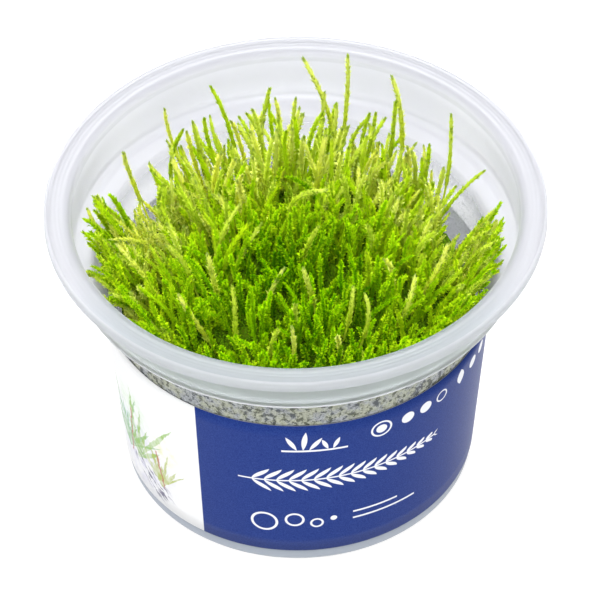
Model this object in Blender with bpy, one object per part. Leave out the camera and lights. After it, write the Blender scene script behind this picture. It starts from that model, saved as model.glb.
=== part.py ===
"""Moss growing in a round plastic culture cup.

Four pieces: the moulded cup with its collar and wide rim, the paper label glued round its
wall, the disc of nutrient gel on its floor, and the moss clump that stands on the gel.
The origin is the middle of the foot, on the surface the cup stands on, with +Z up.
The side that is seen, with the edge of the label's white panel on its left, faces -Y.
"""

import math
import random

import bmesh
import bpy
from mathutils import Vector

MM = 0.001

# Driving dimensions of the cup, in millimetres
RIM_RADIUS = 50.0
CUP_HEIGHT = 66.0
RIM_INNER_RADIUS = 44.2
RIM_SKIRT = 1.87
COLLAR_DEPTH = 12.3
LEDGE_INNER_RADIUS = 40.6
COLLAR_OUTER_RADIUS = 44.85
WALL = 0.9
FOOT_RADIUS = 35.6
FOOT_CORNER = 1.5
WALL_TAPER = 0.0815
FOOT_RING_WIDTH = 2.6
FOOT_RECESS = 0.8
FLOOR_TOP = 1.8
FLOOR_ROUND = 1.2
RIM_ROUND = 1.6
EDGE_ROUND = 0.4
ROUND_STEPS = 60

# The paper label
LABEL_BOTTOM = 3.95
LABEL_TOP = 44.2
LABEL_THICKNESS = 0.2
LABEL_OVERLAP_DEG = 10.0
LABEL_STEP_DEG = 5.0
LABEL_SEAM_DEG = 75.0
LABEL_EASE_DEG = 10.0
SKIN_GAP = 0.3

# The gel and the moss
REST_GAP = 0.3
GEL_DEPTH = 9.0
MOSS_FOOT_RADIUS = 31.0
MOSS_HALF_WIDTH = 36.0
MOSS_HALF_DEPTH = 31.5
MOSS_FORWARD = 4.5
MOSS_SHOULDER = 48.0
MOSS_CROWN = 60.0
MOSS_SIDES = 32
MOSS_ROOT_DEPTH = 4.0
SHOOT_ROOTS_WITHIN = 0.8
SHOOT_KNEE_RISE = 0.55
SHOOT_TAPER = 0.35
SHORT_SHOOTS = 136
SHORT_SHOOTS_WITHIN = 0.93
SHORT_SHOOT_RADIUS = 1.1
LONG_SHOOT_RADIUS = 0.8
SHOOT_SEED = 11
GOLDEN_ANGLE = math.radians(137.508)

# The long shoots that stand clear of the rest, in millimetres: foot x and y, tip x and y, and
# how high the tip is over the rim
LONG_SHOOTS = [
    (-12, 24, -15, 26, 7),
    (-8, 23, -5, 25, 8),
    (-23, 22, -28, 24, 3),
    (-32, 13, -35, 15, 1),
    (-37, 5, -40, 5, -1),
    (-16, 20, -19, 19, 5),
    (-27, 19, -23, 18, 3),
    (-19, 21, -20, 20, 2),
    (-3, 21, -2, 22, 7),
    (-1, 21, 0, 24, 6),
    (10, 23, 3, 28, 12),
    (5, 22, 6, 25, 6),
    (7, 19, 9, 22, 5),
    (10, 24, 12, 29, 13),
    (10, 20, 12, 21, 4),
    (13, 18, 14, 21, 6),
    (14, 18, 17, 19, 6),
    (20, 20, 20, 22, 8),
    (23, 21, 21, 25, 10),
    (25, 13, 24, 13, 1),
    (26, 13, 27, 13, 1),
    (32, 13, 31, 19, 6),
    (28, 5, 37, 9, 1),
    (36, -2, 39, 0, -5),
    (37, -3, 41, -1, -5),
    (35, -6, 40, -6, -8),
    (34, -8, 39, -9, -11),
    (-37, 3, -39, 2, -3),
    (-38, 1, -41, 1, -4),
    (-37, -2, -40, -3, -6),
    (-37, -8, -41, -8, -9),
    (-34, 4, -35, 5, -1),
    (-17, -28, -24, -26, 0),
    (-13, -30, -11, -24, 0),
    (-8, -23, -4, -20, 0),
    (-1, -28, 0, -26, -2),
    (-16, -14, -6, -8, 2),
]


def material(name, colour, roughness, transmission=0.0):
    """A Principled material with one colour."""
    made = bpy.data.materials.new(name)
    made.use_nodes = True
    shader = made.node_tree.nodes["Principled BSDF"]
    shader.inputs["Base Color"].default_value = (*colour, 1.0)
    shader.inputs["Roughness"].default_value = roughness
    shader.inputs["Transmission Weight"].default_value = transmission
    return made


def link(name, mesh, finish):
    """Puts a mesh into the scene as an object with its material."""
    mesh.materials.append(finish)
    made = bpy.data.objects.new(name, mesh)
    bpy.context.scene.collection.objects.link(made)
    return made


def arc(centre_r, centre_z, radius, start_deg, end_deg, steps):
    """Points of a round stretch of a turned profile, both ends included."""
    points = []
    for i in range(steps + 1):
        turn = math.radians(start_deg + (end_deg - start_deg) * i / steps)
        points.append((centre_r + radius * math.cos(turn), centre_z + radius * math.sin(turn)))
    return points


def wall_outer(z):
    """Outer radius of the cup's tapered wall at height z, in millimetres."""
    return FOOT_RADIUS + WALL_TAPER * (z - FOOT_CORNER)


def wall_inner(z):
    return wall_outer(z) - WALL


def turned(name, profile, finish):
    """A solid of revolution: the profile, from the axis back to the axis, swept round Z by a Screw."""
    mesh = bpy.data.meshes.new(name)
    points = [(r * MM, 0.0, z * MM) for r, z in profile]
    mesh.from_pydata(points, [(i, i + 1) for i in range(len(points) - 1)], [])
    made = link(name, mesh, finish)
    screw = made.modifiers.new("turn", "SCREW")
    screw.steps = ROUND_STEPS
    screw.render_steps = ROUND_STEPS
    screw.use_smooth_shade = True
    screw.use_merge_vertices = True
    screw.merge_threshold = 0.0001
    return made


def cup_profile():
    """The cup's section: up the inside from the floor, over the rim, and down the outside."""
    top = CUP_HEIGHT
    ledge = top - COLLAR_DEPTH
    low = FLOOR_TOP + FLOOR_ROUND
    inside = [(0.0, FLOOR_TOP)]
    inside += arc(wall_inner(low) - FLOOR_ROUND, low, FLOOR_ROUND, -90, 0, 2)
    inside += [(wall_inner(ledge - 1.6), ledge - 1.6), (LEDGE_INNER_RADIUS - 1.2, ledge - 0.5)]
    inside += [(LEDGE_INNER_RADIUS, ledge)]
    inside += [(RIM_INNER_RADIUS - 1.2, ledge + 0.6), (RIM_INNER_RADIUS - 0.4, ledge + 1.6)]
    inside += arc(RIM_INNER_RADIUS + RIM_ROUND, top - RIM_ROUND, RIM_ROUND, 180, 90, 3)

    skirt = top - RIM_SKIRT
    outside = arc(RIM_RADIUS - EDGE_ROUND, top - EDGE_ROUND, EDGE_ROUND, 90, 0, 1)
    outside += [(RIM_RADIUS, skirt), (RIM_RADIUS - 0.8, skirt)]
    outside += [(RIM_RADIUS - 0.9, top - 1.1), (COLLAR_OUTER_RADIUS + 0.4, top - 1.6)]
    outside += arc(COLLAR_OUTER_RADIUS - 1.0, ledge + 0.7, 1.0, 0, -90, 2)
    outside += [(LEDGE_INNER_RADIUS + 0.7, ledge - 1.0), (wall_outer(ledge - 1.9), ledge - 1.9)]
    outside += arc(FOOT_RADIUS - FOOT_CORNER, FOOT_CORNER, FOOT_CORNER, 0, -90, 3)
    ring_inner = FOOT_RADIUS - FOOT_CORNER - FOOT_RING_WIDTH
    outside += [(ring_inner, 0.0), (ring_inner - 0.5, FOOT_RECESS), (0.0, FOOT_RECESS)]
    return inside + outside


def gel_profile():
    """The gel: a disc that fills the floor of the cup, its edge a little raised where it clings."""
    low = FLOOR_TOP + REST_GAP
    high = low + GEL_DEPTH
    corner = 1.6
    return [
        (0.0, high),
        (wall_inner(high) - 3.0, high),
        (wall_inner(high) - REST_GAP, high + 0.8),
        (wall_inner(low + corner) - REST_GAP, low + corner),
        (wall_inner(low + corner) - REST_GAP - corner, low),
        (0.0, low),
    ]


def loft(sections):
    """A bmesh closed body through rings of points, in millimetres, with both ends filled.

    A last section of one point closes the body in a tip.
    """
    body = bmesh.new()
    rings = [[body.verts.new(Vector(p) * MM) for p in section] for section in sections]
    body.faces.new(list(reversed(rings[0])))
    for low, high in zip(rings, rings[1:]):
        count = len(low)
        for i in range(count):
            j = (i + 1) % count
            if len(high) == 1:
                body.faces.new([low[i], low[j], high[0]])
            else:
                body.faces.new([low[i], low[j], high[j], high[i]])
    if len(rings[-1]) > 1:
        body.faces.new(rings[-1])
    bmesh.ops.recalc_face_normals(body, faces=body.faces)
    return body


def label_section(angle_deg, lift):
    """The label's cut edge at one angle: four corners, pushed out by lift where it overlaps."""
    turn = math.radians(angle_deg)
    corners = []
    for z, out in (
        (LABEL_BOTTOM, 0.0),
        (LABEL_BOTTOM, LABEL_THICKNESS),
        (LABEL_TOP, LABEL_THICKNESS),
        (LABEL_TOP, 0.0),
    ):
        r = wall_outer(z) + SKIN_GAP + lift + out
        corners.append((r * math.cos(turn), r * math.sin(turn), z))
    return corners


def build_label(finish):
    """A strip that goes once round the wall and laps over its own start."""
    whole = 360.0 + LABEL_OVERLAP_DEG
    lap_lift = LABEL_THICKNESS + SKIN_GAP
    sections = []
    for i in range(round(whole / LABEL_STEP_DEG) + 1):
        angle = LABEL_STEP_DEG * i
        share = min(max((angle - 360.0) / LABEL_EASE_DEG + 1.0, 0.0), 1.0)
        sections.append(label_section(LABEL_SEAM_DEG + angle, lap_lift * share))
    strip = loft(sections)
    mesh = bpy.data.meshes.new("label")
    strip.to_mesh(mesh)
    strip.free()
    return link("label", mesh, finish)


def oval(half_width, half_depth, middle_y):
    """Points of an oval round the clump, with soft lumps."""
    points = []
    for i in range(MOSS_SIDES):
        turn = math.tau * i / MOSS_SIDES
        swell = 1.0 + 0.015 * math.sin(5 * turn + half_width) + 0.015 * math.sin(9 * turn)
        x = half_width * swell * math.cos(turn)
        y = middle_y + half_depth * swell * math.sin(turn)
        points.append((x, y))
    return points


def outness(x, y):
    """0 at the middle of the clump, 1 at its side."""
    return math.hypot(x / MOSS_HALF_WIDTH, (y + MOSS_FORWARD) / MOSS_HALF_DEPTH)


def moss_top(x, y):
    """Height of the matted part at x, y: a dome with soft lumps."""
    dome = MOSS_SHOULDER + (MOSS_CROWN - MOSS_SHOULDER) * (1.0 - min(outness(x, y), 1.0) ** 2)
    return dome + 0.8 * math.sin(0.35 * x + 1.0) * math.sin(0.3 * y)


def mat_sections():
    """Rings of the matted part: an oval barrel on the gel, nearer the front wall, with a domed top."""
    base = FLOOR_TOP + 2 * REST_GAP + GEL_DEPTH
    foot = MOSS_FOOT_RADIUS
    sections = [
        [(x, y, base) for x, y in oval(foot - 2.0, foot - 2.0, 0.0)],
        [(x, y, base + 2.0) for x, y in oval(foot, foot, 0.0)],
    ]
    for share in (0.5, 0.93):
        level = base + share * (MOSS_SHOULDER - base)
        half_width = foot + share * (MOSS_HALF_WIDTH - foot)
        half_depth = foot + share * (MOSS_HALF_DEPTH - foot)
        ring = oval(half_width, half_depth, -MOSS_FORWARD * share)
        sections.append([(x, y, level) for x, y in ring])
    for share in (0.92, 0.72, 0.48, 0.2):
        ring = oval(share * MOSS_HALF_WIDTH, share * MOSS_HALF_DEPTH, -MOSS_FORWARD)
        sections.append([(x, y, moss_top(x, y)) for x, y in ring])
    return sections


def shoot_sections(foot_x, foot_y, tip, radius, sides, shares):
    """Rings of one tapering shoot: it comes up out of the mat and bends over towards its tip."""
    pull = min(1.0, SHOOT_ROOTS_WITHIN / max(outness(foot_x, foot_y), 0.01))
    start_x = foot_x * pull
    start_y = (foot_y + MOSS_FORWARD) * pull - MOSS_FORWARD
    start = Vector((start_x, start_y, moss_top(start_x, start_y) - MOSS_ROOT_DEPTH))
    end = Vector(tip)
    knee_z = start.z + SHOOT_KNEE_RISE * (end.z - start.z)
    knee = Vector((foot_x, foot_y, knee_z))
    sections = []
    for share in shares:
        centre = (1 - share) ** 2 * start + 2 * share * (1 - share) * knee + share**2 * end
        along = ((1 - share) * (knee - start) + share * (end - knee)).normalized()
        side = along.cross(Vector((0.3, 1.0, 0.1))).normalized()
        across = along.cross(side)
        thick = radius * (1.0 - SHOOT_TAPER * share)
        ring = []
        for i in range(sides):
            turn = math.tau * i / sides
            ring.append(centre + thick * (math.cos(turn) * side + math.sin(turn) * across))
        sections.append(ring)
    sections.append([end])
    return sections


def short_shoots():
    """Foot and tip of the many short shoots, set out on a spiral and leaning out like a fan."""
    rng = random.Random(SHOOT_SEED)
    found = []
    for i in range(SHORT_SHOOTS):
        out = math.sqrt((i + 0.5) / SHORT_SHOOTS)
        turn = i * GOLDEN_ANGLE
        x = SHORT_SHOOTS_WITHIN * MOSS_HALF_WIDTH * out * math.cos(turn)
        y = SHORT_SHOOTS_WITHIN * MOSS_HALF_DEPTH * out * math.sin(turn) - MOSS_FORWARD
        lean = 1.0 + 2.5 * out + rng.uniform(-1.5, 1.5)
        slip = rng.uniform(-2.0, 2.0)
        tip_x = x + lean * math.cos(turn) - slip * math.sin(turn)
        tip_y = y + lean * math.sin(turn) + slip * math.cos(turn)
        tip_z = CUP_HEIGHT + 2.0 - 9.0 * out**2 + rng.uniform(-4.0, 2.5)
        found.append((x, y, (tip_x, tip_y, tip_z)))
    return found


def shoot_plans():
    """What shoot_sections needs for each shoot, short ones with fewer rings."""
    plans = []
    for foot_x, foot_y, tip in short_shoots():
        plans.append((foot_x, foot_y, tip, SHORT_SHOOT_RADIUS, 4, (0.0, 0.65)))
    for foot_x, foot_y, tip_x, tip_y, over_rim in LONG_SHOOTS:
        tip = (tip_x, tip_y, CUP_HEIGHT + over_rim)
        plans.append((foot_x, foot_y, tip, LONG_SHOOT_RADIUS, 4, (0.0, 0.5, 0.85)))
    return plans


def joined_shoots(finish):
    """All shoots in one mesh, kept as a guide that the mat is joined with."""
    joined = bmesh.new()
    for plan in shoot_plans():
        shoot = loft(shoot_sections(*plan))
        piece = bpy.data.meshes.new("shoot")
        shoot.to_mesh(piece)
        shoot.free()
        joined.from_mesh(piece)
        bpy.data.meshes.remove(piece)
    mesh = bpy.data.meshes.new("shoots")
    joined.to_mesh(mesh)
    joined.free()
    guide = link("shoots", mesh, finish)
    guide.hide_render = True
    guide.display_type = "WIRE"
    return guide


def build_moss(finish):
    """The clump: the mat with its short and long shoots joined into one body."""
    mat = loft(mat_sections())
    mesh = bpy.data.meshes.new("moss_clump")
    mat.to_mesh(mesh)
    mat.free()
    clump = link("moss_clump", mesh, finish)
    union = clump.modifiers.new("join shoots", "BOOLEAN")
    union.operation = "UNION"
    union.solver = "EXACT"
    union.use_self = True
    union.object = joined_shoots(finish)
    return clump


def main():
    for old in list(bpy.data.objects):
        bpy.data.objects.remove(old)
    frosted = material("frosted plastic", (0.86, 0.88, 0.93), 0.4, transmission=0.6)
    paper = material("printed paper", (0.035, 0.06, 0.26), 0.5)
    gel = material("nutrient gel", (0.85, 0.84, 0.72), 0.15, transmission=0.8)
    green = material("moss", (0.28, 0.42, 0.02), 0.55)
    turned("cup", cup_profile(), frosted)
    build_label(paper)
    turned("gel", gel_profile(), gel)
    build_moss(green)


main()
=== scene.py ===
# %% [markdown]
# # Moss in a see-through culture cup
#
# A laboratory raises moss in round plastic cups, on a layer of clear gel. The moss fills its
# cup with upright leafy shoots, and a paper label goes round the wall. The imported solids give
# every size here, and this script adds what the eye sees: frosted plastic, misted walls,
# printed paper and some hundred thousand small leaves.

import math

import bpy
import numpy as np
from mathutils import Matrix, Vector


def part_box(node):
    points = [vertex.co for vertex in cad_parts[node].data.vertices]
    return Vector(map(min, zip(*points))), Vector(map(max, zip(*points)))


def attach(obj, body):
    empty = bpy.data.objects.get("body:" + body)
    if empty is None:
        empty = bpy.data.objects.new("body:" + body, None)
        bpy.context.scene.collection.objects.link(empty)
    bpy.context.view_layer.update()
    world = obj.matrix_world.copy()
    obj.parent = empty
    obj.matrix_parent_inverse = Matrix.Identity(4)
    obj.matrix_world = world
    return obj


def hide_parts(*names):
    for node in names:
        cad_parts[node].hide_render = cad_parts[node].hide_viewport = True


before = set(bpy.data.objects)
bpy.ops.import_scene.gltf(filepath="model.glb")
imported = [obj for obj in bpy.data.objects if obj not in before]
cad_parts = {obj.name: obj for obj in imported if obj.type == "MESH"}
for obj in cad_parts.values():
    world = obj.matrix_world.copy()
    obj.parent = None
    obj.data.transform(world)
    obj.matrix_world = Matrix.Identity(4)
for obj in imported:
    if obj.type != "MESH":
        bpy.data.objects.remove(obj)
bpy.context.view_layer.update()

# %% [markdown]
# ## Sizes
#
# Everything is worked out in millimetres, because a leaf of 1.2 reads better than one of
# 0.0012, and it turns into metres only when a mesh is made. The big sizes are measured on
# the solids, so the looks can't drift away from them.

# %% Measure the solids in millimetres
MM = 0.001


def box_mm(node):
    """Lowest and highest corner of a solid, in millimetres."""
    low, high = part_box(node)
    return np.array(low) / MM, np.array(high) / MM


cup_high = box_mm("cup")[1]
label_low, label_high = box_mm("label")
gel_low, gel_high = box_mm("gel")
moss_low = box_mm("moss_clump")[0]
RIM_TOP = cup_high[2]
RIM_RADIUS = cup_high[0]
print("rim", RIM_RADIUS, "at", RIM_TOP, "label from", label_low[2], "to", label_high[2])

# %% [markdown]
# ## Meshes from arrays
#
# Each new piece starts as a numpy array of points, worked out all at once, and a second array
# says which points each face joins. A grid needs only index arithmetic for that. Filling the
# mesh with foreach_set keeps a piece of a hundred thousand triangles quick.

# %% Grid faces and meshes from arrays
def grid_faces(rows, columns, wrap=False):
    """Corner indices of a grid's quads; with wrap the last column joins the first."""
    across = columns if wrap else columns - 1
    r, c = np.meshgrid(np.arange(rows - 1), np.arange(across), indexing="ij")
    here = r * columns + c
    right = r * columns + (c + 1) % columns
    quads = np.stack([here, right, right + columns, here + columns], axis=-1)
    return quads.reshape(-1, 4)


def make_mesh(name, points, faces, looks=None):
    """A smooth mesh: points in millimetres, faces a list of index arrays, looks one vector a point."""
    mesh = bpy.data.meshes.new(name)
    mesh.vertices.add(len(points))
    mesh.vertices.foreach_set("co", (points * MM).astype(np.float32).ravel())
    corners = np.concatenate([f.ravel() for f in faces]).astype(np.int32)
    sizes = np.concatenate([np.full(len(f), f.shape[1]) for f in faces])
    starts = np.concatenate([[0], np.cumsum(sizes)[:-1]]).astype(np.int32)
    mesh.loops.add(len(corners))
    mesh.loops.foreach_set("vertex_index", corners)
    mesh.polygons.add(len(sizes))
    mesh.polygons.foreach_set("loop_start", starts)
    mesh.polygons.foreach_set("use_smooth", np.ones(len(sizes), dtype=bool))
    mesh.update(calc_edges=True)
    if looks is not None:
        mesh.attributes.new("look", "FLOAT_VECTOR", "POINT")
        mesh.attributes["look"].data.foreach_set("vector", looks.astype(np.float32).ravel())
    return mesh


def in_scene(name, data):
    """A new object with this data, at the origin."""
    made = bpy.data.objects.new(name, data)
    bpy.context.scene.collection.objects.link(made)
    return made


def add_piece(name, mesh, material, stands_for):
    """Puts a finished mesh in the scene, on the one body, in place of the solid it stands for."""
    mesh.materials.append(material)
    made = in_scene(name, mesh)
    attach(made, "root")
    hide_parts(stands_for)
    triangles = sum(len(p.vertices) - 2 for p in mesh.polygons)
    print(f"{name}: {triangles} triangles")


open_grid, closed_round = grid_faces(3, 4), grid_faces(3, 4, wrap=True)
print("a grid of 3 by 4 points has", len(open_grid), "faces, and", len(closed_round), "when it closes")

# %% [markdown]
# ## Shader maths as plain expressions
#
# A procedural material is arithmetic on sockets. Wrapping a socket in a small class that
# knows +, -, * and / lets a formula stand in the code as it would on paper, and each operator
# adds its Math node. Colours are mixed by their own method, since a Math node turns them grey.

# %% A socket that does arithmetic
class Sock:
    """A socket of a material's node tree that can be used in expressions."""

    def __init__(self, tree, socket):
        self.tree = tree
        self.socket = socket

    def node(self, kind, settings=None, inputs=None, output=0):
        """Adds a node of a kind, sets its settings, then fills its inputs by name or index."""
        made = self.tree.nodes.new(kind)
        for key, value in (settings or {}).items():
            setattr(made, key, value)
        for key, value in (inputs or {}).items():
            if isinstance(value, Sock):
                self.tree.links.new(value.socket, made.inputs[key])
            else:
                made.inputs[key].default_value = value
        return Sock(self.tree, made.outputs[output])

    def parts(self):
        """The three numbers of a vector, from one node."""
        split = self.node("ShaderNodeSeparateXYZ", None, {0: self})
        return [Sock(self.tree, number) for number in split.socket.node.outputs]

    def math(self, operation, *values, clamp=False):
        """One Math node on this number and further values."""
        inputs = dict(enumerate((self, *values)))
        settings = {"operation": operation, "use_clamp": clamp}
        return self.node("ShaderNodeMath", settings, inputs)

    def __add__(self, other):
        return self.math("ADD", other)

    def __sub__(self, other):
        return self.math("SUBTRACT", other)

    def __rsub__(self, other):
        return self.math("MULTIPLY_ADD", -1.0, other)

    def __mul__(self, other):
        return self.math("MULTIPLY", other)

    def __truediv__(self, other):
        return self.math("DIVIDE", other)

    def __neg__(self):
        return self.math("MULTIPLY", -1.0)

    def __pow__(self, other):
        return self.math("POWER", other)

    def __abs__(self):
        return self.math("ABSOLUTE")

    __radd__ = __add__
    __rmul__ = __mul__

    def at_least(self, other):
        return self.math("MAXIMUM", other)

    def step(self, start, end):
        """0 at start, 1 at end, eased between; start may be above end."""
        settings = {"interpolation_type": "SMOOTHSTEP"}
        inputs = {"Value": self, "From Min": start, "From Max": end}
        return self.node("ShaderNodeMapRange", settings, inputs)

    def mix(self, low, high):
        """A colour: low where this socket is 0, high where it is 1."""
        inputs = {0: self, 6: as_colour(low), 7: as_colour(high)}
        return self.node("ShaderNodeMix", {"data_type": "RGBA"}, inputs, output=2)


def as_colour(value):
    """A colour for a socket: a link as it is, three numbers with a fourth."""
    return value if isinstance(value, Sock) else (*value, 1.0)


print("a pale blue for a socket:", as_colour((0.86, 0.865, 0.90)))

# %% [markdown]
# ## Materials and their coordinates
#
# Blender's Object coordinates give each point of a piece its place in metres, and since every
# piece sits at the origin they are places on the whole cup. That makes them better than UVs
# here: a mask can ask how high a point is, or how far from the axis, in millimetres.

# %% New materials and their coordinates
def new_material(name):
    """An empty material: its tree as a Sock to build from, and its output node."""
    material = bpy.data.materials.new(name)
    material.use_nodes = True
    tree = material.node_tree
    tree.nodes.clear()
    output = tree.nodes.new("ShaderNodeOutputMaterial")
    return material, Sock(tree, output.inputs["Surface"])


def place_mm(start):
    """Object coordinates in millimetres, as three numbers and as one vector."""
    metres = start.node("ShaderNodeTexCoord", output=3)
    scaled = {"operation": "SCALE"}
    vector = start.node("ShaderNodeVectorMath", scaled, {0: metres, "Scale": 1.0 / MM})
    x, y, z = vector.parts()
    return x, y, z, vector


def noise(where, scale, detail=2.0, roughness=0.5):
    """Smooth noise around 0.5, with scale in features per millimetre."""
    inputs = {"Vector": where, "Scale": scale, "Detail": detail, "Roughness": roughness}
    return where.node("ShaderNodeTexNoise", None, inputs)


def cells(where, scale):
    """Distance to the nearest of scattered points: 0 at each, with scale in points per millimetre."""
    return where.node("ShaderNodeTexVoronoi", {"feature": "F1"}, {"Vector": where, "Scale": scale})


def bump(height, distance_mm):
    """A normal from a height between 0 and 1 that stands for distance_mm."""
    return height.node("ShaderNodeBump", None, {"Height": height, "Distance": distance_mm * MM})


def look_numbers(start):
    """The three numbers that a mesh carries at each point."""
    return start.node("ShaderNodeAttribute", {"attribute_name": "look"}, output=1).parts()


def principled(start, inputs):
    """The shader for a plain, coated or glassy surface."""
    return start.node("ShaderNodeBsdfPrincipled", None, inputs)


def shining_through(start, colour):
    """Light that comes through a thin layer from behind, in one colour."""
    return start.node("ShaderNodeBsdfTranslucent", None, {"Color": as_colour(colour)})


def mix_shaders(share, first, second):
    """The first shader where share is 0, the second where it is 1."""
    return first.node("ShaderNodeMixShader", None, {0: share, 1: first, 2: second})


def finish(material, start, shader):
    """Links the last shader to the material's output and hands the material on."""
    start.tree.links.new(shader.socket, start.socket)
    print(f"{material.name}: {len(start.tree.nodes)} nodes")
    return material


print("Object coordinates are multiplied by", 1.0 / MM)

# %% [markdown]
# ## Frosted plastic
#
# The cup is moulded in milky polypropylene. Light goes through it but comes out spread, so
# nothing behind it is sharp. Glass with a high roughness gives the spreading, and a share of
# plain and shining-through white gives the milk. Light and shade are partly painted into the
# colour. Painted highlights make the rim's edge and the collar's foot bright lines, where the
# plastic is thick, and the side walls are painted lighter. Painted shade darkens a soft crease
# inside the rim, a band at the ledge and the rim's top. At the front, the plastic is painted
# greyer and greener for the moss seen through it. Below the collar the inner face is misted with
# condensation: a mask in height, with beads as bump and colour. Seen from outside at the front,
# that wet band is a mottled grey: the mist's mottling, with the dark and green of the moss behind
# it painted in as shade. The foot is a cool grey of painted shade. All masks read heights and
# radii, so the cup's sizes in millimetres come first.

# %% Sizes of the cup
WALL = 0.9
FOOT_RADIUS = 35.6
FOOT_CORNER = 1.5
WALL_TAPER = 0.0815
FLOOR_TOP = 1.8
MIST_FOOT = 18.0
LEDGE = RIM_TOP - 12.3
LEDGE_RADIUS = 40.6
RIM_INNER_RADIUS = 44.5
RIM_ROUNDING = 2.0
COLLAR_OUTER_RADIUS = 45.25
LABEL_TOP = label_high[2] - 1.0
LABEL_FOOT = label_low[2] - 0.35
print("wall", WALL, "ledge at", LEDGE, "label from", LABEL_FOOT, "to", LABEL_TOP)


# %% Masks and colours of the plastic
def rim_masks(z, far):
    """The rim's upper side, the line at the collar's foot, and that line with the rim's edge, where a
    highlight is painted.
    """
    top = z.step(RIM_TOP - 1.6, RIM_TOP - 0.4)
    top = top.at_least(far.step(RIM_INNER_RADIUS + 0.9, RIM_INNER_RADIUS + 1.7))
    lip = z.step(LEDGE + 1.4, LEDGE + 1.1) * z.step(LEDGE + 0.5, LEDGE + 0.7)
    lip = lip * far.step(RIM_INNER_RADIUS - 0.3, RIM_INNER_RADIUS)
    return top, lip, lip.at_least(far.step(RIM_RADIUS - 0.75, RIM_RADIUS - 0.4))


def foot_mask(z):
    """1 below the label."""
    return z.step(LABEL_FOOT + 1.4, LABEL_FOOT + 0.4)


def plastic_colour(x, z, far, where, front_shade, top, bright):
    """White, with painted light and shade: lighter at the sides, bright at the edges, darker at the ledge,
    in the crease, on the rim and at the front.
    """
    wall = noise(where, 0.12, detail=3.0).mix((0.82, 0.825, 0.87), (0.86, 0.865, 0.91))
    # Painted light: the side walls are lighter, except at the front.
    wall = (abs(x).step(24.0, 38.0) * (1.0 - front_shade)).mix(wall, (0.96, 0.965, 1.0))
    # Painted shade: a grey band at the ledge.
    ledge = z.step(LEDGE + 3.0, LEDGE) * z.step(LEDGE - 6.5, LEDGE - 2.5)
    wall = ledge.mix(wall, (0.70, 0.705, 0.75))
    # Painted shade: the front is greyer and greener for the moss seen through it, and the rim is darker,
    # more so at the front.
    wall = front_shade.mix(wall, (0.67, 0.72, 0.715))
    rim = front_shade.mix((0.545, 0.55, 0.585), (0.42, 0.465, 0.495))
    # Painted shade in the crease inside the rim.
    crease = z.step(RIM_TOP - 1.0, RIM_TOP - 1.3) * z.step(RIM_TOP - 2.4, RIM_TOP - 1.9)
    crease = crease * far.step(RIM_INNER_RADIUS + 1.1, RIM_INNER_RADIUS + 0.7)
    clear = crease.mix(top.mix(wall, rim), (0.68, 0.69, 0.71))
    # Painted highlight: a bright line on the rim's edge and the collar's foot.
    return bright.mix(clear, (0.94, 0.95, 0.98))


def mist_and_shade_grey(z, where):
    """The mottled grey of wet plastic, with the moss behind it painted in as dark and green shade, and the
    cool grey of painted shade at the foot.
    """
    fine = noise(where, 2.1, detail=2.0, roughness=0.6).step(0.38, 0.62)
    blotch = noise(where, 0.35, detail=4.0, roughness=0.65).step(0.40, 0.60)
    smudge = noise(where, 0.9, detail=3.0, roughness=0.7).step(0.50, 0.60)
    # Painted shade: the dark and green of the moss seen through the wet wall.
    dark = blotch.mix((0.04, 0.05, 0.07), (0.06, 0.07, 0.03))
    light = blotch.mix((0.60, 0.63, 0.66), (0.53, 0.55, 0.42))
    mottled = (0.40 + fine * 0.42 + blotch * 0.2 - smudge * (0.74 + fine * 0.3)).mix(dark, light)
    # Painted shade: a cool grey at the foot, below the label.
    colour = foot_mask(z).mix(mottled, (0.27, 0.31, 0.38))
    return principled(where, {"Base Color": colour, "Roughness": 0.5, "IOR": 1.42})


print("the bright line at the collar's foot is", round(LEDGE + 1.0, 1), "mm up")

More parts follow.
